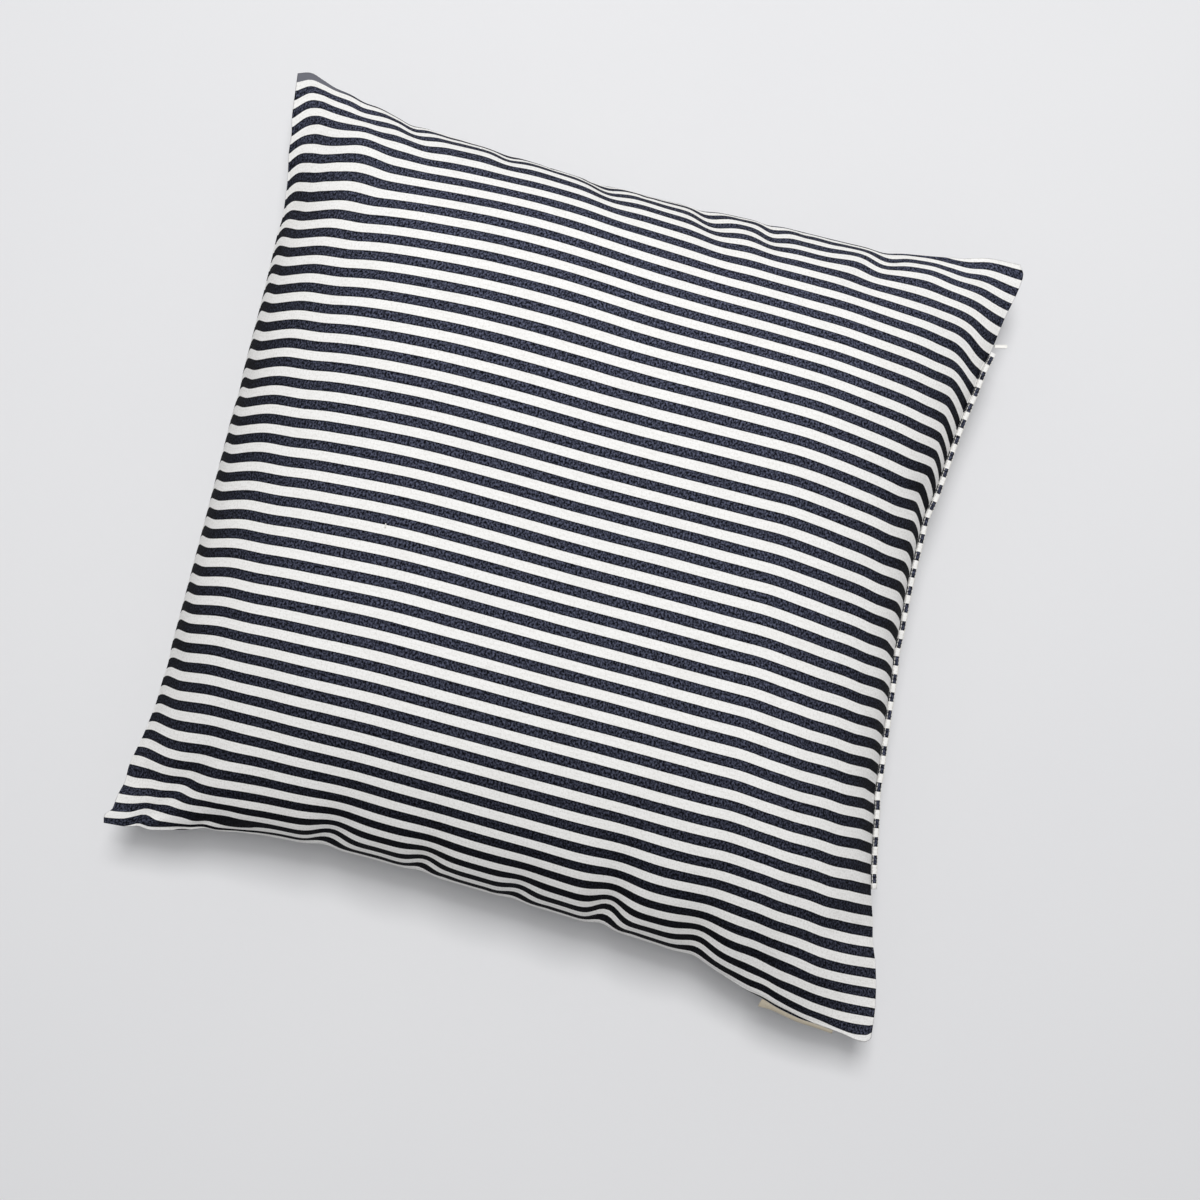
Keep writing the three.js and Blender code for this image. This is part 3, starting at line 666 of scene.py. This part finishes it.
def build_pull(material):
    """A small tab with rounded end and softened edges, its root against the seam."""
    point, along, outward = seam_frame(np.array([PULL["at"]]), "right")
    half = PULL["width"] / 2
    length = PULL["length"]
    turn = math.radians(PULL["turn"])
    lean = abs(math.atan2(along[0, 0], along[0, 1]))
    start = point[0] + outward[0] * (GAP + half * math.tan(turn + lean))
    arc = np.linspace(-math.pi / 2, math.pi / 2, PULL_ARC_POINTS)
    outline = [(x, -half * share) for x, share in PULL_ROOT]
    outline += [(length - half + half * math.cos(a), half * math.sin(a)) for a in arc]
    outline += [(x, half * share) for x, share in reversed(PULL_ROOT)]
    outline = np.array(outline)
    middle = np.array([length / 2, 0.0])
    rings = []
    for ring in PULL_RINGS:
        scale = 1 - ring["inset"] / np.array([length / 2, half])
        height = ring["side"] * (PULL["thick"] / 2 - ring["short"])
        rings.append(np.column_stack([(outline - middle) * scale + middle, np.full(len(outline), height)]))
    x, y, z = np.concatenate(rings).T
    cos, sin = math.cos(turn), math.sin(turn)
    turned = np.column_stack([x * cos - y * sin, x * sin + y * cos, z])
    faces = tube_faces(len(rings), len(outline))
    return mesh_object("zip_pull_tab", turned + start, faces, None, material, smooth_shade=False)


def build_label(material):
    """Blank folded strip hanging out of the bottom seam, less of it showing to the right."""
    at = np.linspace(LABEL["start"], LABEL["end"], LABEL_STATIONS)
    point, _, outward = seam_frame(at, "bottom")
    share = (at - LABEL["start"]) / (LABEL["end"] - LABEL["start"])
    show = mix(LABEL["show"], LABEL["show_end"], share)
    show = show + LABEL["flare"] * np.exp(-((share / LABEL["flare_reach"]) ** 2))
    ripple = LABEL_RIPPLE["height"] * np.sin(share * LABEL_RIPPLE["turn"]) * share * (1 - share)
    shape = np.array(LABEL_SECTION)
    out = shape[None, :, 0]
    rings = point[:, None] + (GAP + out[..., None] * show[:, None, None] * LABEL_FIT) * outward[:, None]
    rings[..., 2] += shape[None, :, 1] * LABEL["thick"] / 2 - LABEL["drop"] * out
    rings[..., 2] += ripple[:, None] * out
    run = run_along(point)
    around = np.arange(len(shape) + 1.0) * LABEL_UV_STEP
    return swept("label_strip", rings[::-1], around, run[::-1], material)


# Materials

def srgb(r, g, b):
    """A colour measured on a display, as the shader wants it."""
    def one(c):
        c /= 255
        return c / 12.92 if c <= 0.04045 else ((c + 0.055) / 1.055) ** 2.4
    return (one(r), one(g), one(b), 1)


class Nodes:
    """Short hands for wiring a material."""

    COLOUR_A, COLOUR_B, COLOUR_OUT = 6, 7, 2  # sockets of a mix node that mixes colours

    def __init__(self, name, roughness, specular, sheen=0.0):
        self.material = bpy.data.materials.new(name)
        self.material.use_nodes = True
        self.tree = self.material.node_tree
        self.shader = self.tree.nodes["Principled BSDF"]
        self.shader.inputs["Roughness"].default_value = roughness
        self.shader.inputs["Specular IOR Level"].default_value = specular
        self.shader.inputs["Sheen Weight"].default_value = sheen
        self.shader.inputs["Sheen Roughness"].default_value = SHEEN_ROUGHNESS

    def add(self, kind, **settings):
        node = self.tree.nodes.new(kind)
        for key, value in settings.items():
            setattr(node, key, value)
        return node

    def link(self, source, target):
        self.tree.links.new(source, target)

    def math(self, operation, *values):
        node = self.add("ShaderNodeMath", operation=operation)
        for k, value in enumerate(values):
            if isinstance(value, (int, float)):
                node.inputs[k].default_value = value
            else:
                self.link(value, node.inputs[k])
        return node.outputs[0]

    def ramp(self, value, low, high, to_low=0.0, to_high=1.0):
        node = self.add("ShaderNodeMapRange", interpolation_type="SMOOTHSTEP")
        self.link(value, node.inputs["Value"])
        for key, number in (("From Min", low), ("From Max", high), ("To Min", to_low), ("To Max", to_high)):
            node.inputs[key].default_value = number
        return node.outputs["Result"]

    def blend(self, factor, a, b):
        node = self.add("ShaderNodeMix", data_type="RGBA")
        a_socket, b_socket = node.inputs[self.COLOUR_A], node.inputs[self.COLOUR_B]
        for socket, value in ((node.inputs["Factor"], factor), (a_socket, a), (b_socket, b)):
            if isinstance(value, (int, float, tuple)):
                socket.default_value = value
            else:
                self.link(value, socket)
        return node.outputs[self.COLOUR_OUT]

    def layered(self, grain, ground, layers):
        """Colours laid over a ground colour, each where its own grain is high."""
        for row in layers:
            share = self.ramp(grain[row["grain"]], row["low"], row["high"], 0.0, row["share"])
            ground = self.blend(share, ground, row["colour"])
        return ground

    def noise(self, vector, scale, detail, roughness=0.5):
        node = self.add("ShaderNodeTexNoise", noise_dimensions="3D")
        node.inputs["Scale"].default_value = scale
        node.inputs["Detail"].default_value = detail
        node.inputs["Roughness"].default_value = roughness
        self.link(vector, node.inputs["Vector"])
        return node.outputs["Fac"]

    def stretched(self, vector, x, y):
        node = self.add("ShaderNodeMapping")
        node.inputs["Scale"].default_value = (x, y, 1.0)
        self.link(vector, node.inputs["Vector"])
        return node.outputs["Vector"]

    def ridges(self, place, spacing):
        """Rounded ridges across a coordinate, such as yarns."""
        return self.math("ABSOLUTE", self.math("SINE", self.math("MULTIPLY", place, math.pi / spacing)))

    def cloth_uv(self):
        """The mesh's cloth coordinates in metres: as a vector, along and across the stripes."""
        uv = self.add("ShaderNodeUVMap", uv_map="cloth").outputs["UV"]
        split = self.add("ShaderNodeSeparateXYZ")
        self.link(uv, split.inputs[0])
        return uv, split.outputs[0], split.outputs[1]

    def object_place(self):
        return self.add("ShaderNodeTexCoord").outputs["Object"]

    def bump(self, height, distance, strength, below=None):
        node = self.add("ShaderNodeBump")
        node.inputs["Distance"].default_value = distance
        node.inputs["Strength"].default_value = strength
        self.link(height, node.inputs["Height"])
        if below is not None:
            self.link(below, node.inputs["Normal"])
        return node.outputs["Normal"]


SHEEN_ROUGHNESS = 0.6
YARN = 0.00062                      # metres between two yarns
WEFT = 1.15 * YARN                  # and between two of the weft
HEATHER = 640                       # flecks to the metre, about as wide as two yarns
WHITE = srgb(252, 251, 249)
WHITE_SHADE = srgb(228, 226, 222)
NAVY_DEEP = srgb(1, 2, 6)
NAVY_FLECK = srgb(93, 97, 117)
RIM = dict(start=0.085, end=0.02, share=0.75)  # a dark stripe's deeper rim, against the pitch
SOFT_EDGE = 0.012                   # half width of a stripe's edge, against the pitch
DRIFT = dict(wander=0.0011, ragged=0.0005)     # metres by which the edges drift and are ragged
PAINTED_TIP_SHEEN = srgb(112, 113, 121)          # painted sheen: the dark stripe's end at the top left tip is made lighter grey
PAINTED_TIP_SHEEN_REACH = 0.06                   # metres along the seam
PAINTED_TIP_SHEEN_BELOW = dict(start=5, full=4)  # millimetres below the top seam
YARN_ROUGHNESS = dict(between=0.80, on_top=0.66)

# Painted sheen and shade on the dark yarns: they are made lightest where the cloth faces toward the key
# light, and keep at least this much elsewhere
PAINTED_SHEEN = dict(toward=(0, 0.37, 0.93), power=2.6, gain=1.42, least=0.13)

# Noises over the cloth. stretch scales its coordinates along and across the stripes, so that a
# small number draws the grain out. wander and ragged move a stripe's edges, slub runs along the
# stripes, cross runs across them, and fleck and cloud are fine and broad mottling.
GRAIN = dict(
    wander=dict(stretch=(0.25, 1.0), scale=60, detail=2, roughness=0.5),
    ragged=dict(stretch=(0.6, 1.0), scale=1500, detail=1, roughness=0.5),
    fleck=dict(stretch=(1.0, 0.8), scale=HEATHER, detail=2, roughness=0.6),
    slub=dict(stretch=(0.08, 1.0), scale=950, detail=2, roughness=0.6),
    cross=dict(stretch=(1.0, 0.12), scale=800, detail=2, roughness=0.6),
    cloud=dict(stretch=(1.0, 1.0), scale=26, detail=3, roughness=0.5),
)

# What is laid over each stripe's ground colour: none of it below the grain's low value, and that
# share of it above the high one
NAVY_LAYERS = [
    dict(grain="fleck", low=0.34, high=0.80, share=1.0, colour=NAVY_FLECK),
    dict(grain="slub", low=0.55, high=0.80, share=0.5, colour=NAVY_DEEP),
    dict(grain="cross", low=0.58, high=0.78, share=0.4, colour=NAVY_FLECK),
]
WHITE_LAYERS = [
    dict(grain="fleck", low=0.42, high=0.78, share=0.9, colour=WHITE_SHADE),
    dict(grain="slub", low=0.45, high=0.75, share=0.5, colour=WHITE_SHADE),
    dict(grain="cloud", low=0.45, high=0.75, share=0.2, colour=WHITE_SHADE),
]


def striped_cloth():
    """Even dark and white stripes of a warp-faced canvas, the dark ones heathered by the weft and given
    painted sheen where the cloth faces the key light.
    """
    n = Nodes("striped_cloth", roughness=0.7, specular=0.05)
    uv, u, v = n.cloth_uv()
    grain = {name: n.noise(n.stretched(uv, *row["stretch"]), row["scale"], row["detail"], row["roughness"])
             for name, row in GRAIN.items()}

    shifted = v
    for name, reach in DRIFT.items():
        shifted = n.math("ADD", shifted, n.math("MULTIPLY", n.math("SUBTRACT", grain[name], 0.5), reach))
    turns = n.math("DIVIDE", n.math("SUBTRACT", shifted, STRIPE_CENTRE * MM), STRIPE_PITCH * MM)
    away = n.math("ABSOLUTE", n.math("SUBTRACT", n.math("FRACT", n.math("ADD", turns, 0.5)), 0.5))
    dark = n.ramp(away, DARK_SHARE / 2 - SOFT_EDGE, DARK_SHARE / 2 + SOFT_EDGE, 1.0, 0.0)
    rim = n.ramp(away, DARK_SHARE / 2 - RIM["start"], DARK_SHARE / 2 - RIM["end"], 0.0, RIM["share"])
    navy = n.blend(rim, n.layered(grain, NAVY_DEEP, NAVY_LAYERS), NAVY_DEEP)
    white = n.layered(grain, WHITE, WHITE_LAYERS)

    # Painted sheen and shade: the dark yarns are made lighter where the cloth faces the key light, and
    # darker where it slopes to the bottom seam, away from it
    facing = n.add("ShaderNodeVectorMath", operation="DOT_PRODUCT")
    n.link(n.add("ShaderNodeNewGeometry").outputs["Normal"], facing.inputs[0])
    facing.inputs[1].default_value = PAINTED_SHEEN["toward"]
    painted_sheen_share = n.math("POWER", n.math("MAXIMUM", facing.outputs["Value"], 0.0), PAINTED_SHEEN["power"])
    painted_sheen_share = n.math("MAXIMUM", n.math("MULTIPLY", painted_sheen_share, PAINTED_SHEEN["gain"]), PAINTED_SHEEN["least"])
    navy_with_painted_sheen = n.add("ShaderNodeVectorMath", operation="SCALE")
    n.link(navy, navy_with_painted_sheen.inputs[0])
    n.link(painted_sheen_share, navy_with_painted_sheen.inputs["Scale"])

    # Painted sheen at the top left tip: the dark stripe turns lighter grey there
    tip_sheen_start, tip_sheen_full = ((PANEL - PAINTED_TIP_SHEEN_BELOW[key]) * MM for key in ("start", "full"))
    at_tip = n.math("MULTIPLY", n.ramp(u, PAINTED_TIP_SHEEN_REACH / 2, PAINTED_TIP_SHEEN_REACH, 1.0, 0.0),
                    n.ramp(v, tip_sheen_start, tip_sheen_full))
    navy_with_tip_sheen = n.blend(at_tip, navy_with_painted_sheen.outputs[0], PAINTED_TIP_SHEEN)
    n.link(n.blend(dark, white, navy_with_tip_sheen), n.shader.inputs["Base Color"])

    over = n.math("MULTIPLY", n.ridges(v, YARN), n.ridges(u, WEFT))
    roughness = n.ramp(over, 0.0, 1.0, YARN_ROUGHNESS["between"], YARN_ROUGHNESS["on_top"])
    n.link(roughness, n.shader.inputs["Roughness"])
    slubs = n.bump(grain["slub"], distance=0.00025, strength=0.6)
    n.link(n.bump(over, distance=0.00016, strength=0.8, below=slubs), n.shader.inputs["Normal"])
    return n.material


def thread_material():
    n = Nodes("thread", roughness=0.7, specular=0.3, sheen=0.1)
    twist = n.noise(n.object_place(), scale=2600, detail=1)
    n.link(n.blend(twist, srgb(238, 236, 230), srgb(205, 202, 196)), n.shader.inputs["Base Color"])
    n.link(n.bump(twist, distance=0.0001, strength=0.6), n.shader.inputs["Normal"])
    return n.material


def pull_material():
    n = Nodes("ivory_plastic", roughness=0.38, specular=0.5)
    grain = n.noise(n.object_place(), scale=900, detail=3)
    n.link(n.blend(grain, srgb(250, 249, 246), srgb(232, 229, 222)), n.shader.inputs["Base Color"])
    n.link(n.ramp(grain, low=0.3, high=0.7, to_low=0.32, to_high=0.5), n.shader.inputs["Roughness"])
    n.link(n.bump(grain, distance=0.00005, strength=0.4), n.shader.inputs["Normal"])
    return n.material


RIB = 0.00045                       # metres between two ribs of the label
RIB_PAINTED_SHADE = 0.25                    # how much painted shade lies in the grooves between them


def label_material():
    """Smooth woven tape with fine cross ribs, and painted shade in the grooves between them."""
    n = Nodes("label_tape", roughness=0.72, specular=0.3, sheen=0.15)
    uv, _, along = n.cloth_uv()
    rib = n.ridges(along, RIB)
    base = n.blend(n.noise(uv, scale=500, detail=3), srgb(192, 183, 165), srgb(172, 161, 141))
    # Painted shade: the grooves between the ribs are made darker
    between = n.ramp(rib, 0.0, 1.0, RIB_PAINTED_SHADE, 0.0)
    n.link(n.blend(between, base, srgb(122, 113, 97)), n.shader.inputs["Base Color"])
    n.link(n.bump(rib, distance=0.00012, strength=0.7), n.shader.inputs["Normal"])
    return n.material


def floor_material():
    n = Nodes("paper_floor", roughness=0.95, specular=0.1)
    mottle = n.noise(n.object_place(), scale=3, detail=2)
    n.link(n.blend(mottle, srgb(230, 230, 231), srgb(227, 227, 229)), n.shader.inputs["Base Color"])
    return n.material


# Camera at the photograph's angle: 1566 px focal length for a 1200 px frame
FOCAL = 1566
FRAME_PIXELS = 1200
SENSOR = 36.0
TILT = math.radians(5.3)
TURN = math.radians(14.6)
CAMERA_AT = (29.75, -161.3, 1366)


def make_camera():
    data = bpy.data.cameras.new("camera")
    data.sensor_width = SENSOR
    data.lens = FOCAL / FRAME_PIXELS * SENSOR
    camera = bpy.data.objects.new("camera", data)
    bpy.context.scene.collection.objects.link(camera)
    rotation = Matrix.Rotation(TILT, 4, "X") @ Matrix.Rotation(TURN, 4, "Z")
    camera.matrix_world = Matrix.Translation([c * MM for c in CAMERA_AT]) @ rotation
    bpy.context.scene.camera = camera


def aim(light, place, target):
    """Put a light at its place, facing the target along its own -Z."""
    z = unit(np.subtract(place, target))
    x = unit(np.cross(LIGHT_TOP, z))
    y = np.cross(z, x)
    light.matrix_world = Matrix((*zip(x, y, z, place), (0, 0, 0, 1)))


# Large soft lights: place, size and power in watts. All face the pillow's middle, with their top
# towards its top seam.
LIGHTS = [
    dict(name="key", place=(-0.2, 1.3, 3.2), size=1.2, power=65),
    dict(name="overhead", place=(0.0, 0.3, 3.4), size=1.2, power=29),
]
LIGHTS_AIM = (0, 0, 0.1)
LIGHT_TOP = (0, 1, 0.001)
WORLD_STRENGTH = 0.28
WORLD_COLOUR = (0.97, 0.98, 1.0, 1)


def make_lights():
    for row in LIGHTS:
        data = bpy.data.lights.new(row["name"], "AREA")
        data.shape = "SQUARE"
        data.size = row["size"]
        data.energy = row["power"]
        light = bpy.data.objects.new(row["name"], data)
        bpy.context.scene.collection.objects.link(light)
        aim(light, row["place"], LIGHTS_AIM)
    world = bpy.data.worlds.new("studio")
    world.use_nodes = True
    background = world.node_tree.nodes["Background"]
    background.inputs["Color"].default_value = WORLD_COLOUR
    background.inputs["Strength"].default_value = WORLD_STRENGTH
    bpy.context.scene.world = world


FLOOR = dict(half=6000, height=-0.5)  # millimetres; just under the pillow


def make_floor():
    half, height = FLOOR["half"], FLOOR["height"]
    points = [(-half, -half, height), (half, -half, height), (half, half, height), (-half, half, height)]
    floor = mesh_object("floor", points, [[0, 1, 2, 3]], None, floor_material())


bpy.context.scene.view_settings.view_transform = "Standard"
make_camera()
make_lights()
make_floor()

cloth = striped_cloth()
thread = thread_material()
cover = build_cover(cloth)
lap = build_lap(cloth)
stitches = lap_stitches(thread)
bits = thread_bits(thread)
pull = build_pull(pull_material())
label = build_label(label_material())

for piece in (cover, lap, stitches, bits, pull, label):
    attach(piece, "root")
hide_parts("cover")
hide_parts("zip_lap")
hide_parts("zip_pull")
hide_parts("seam_label")
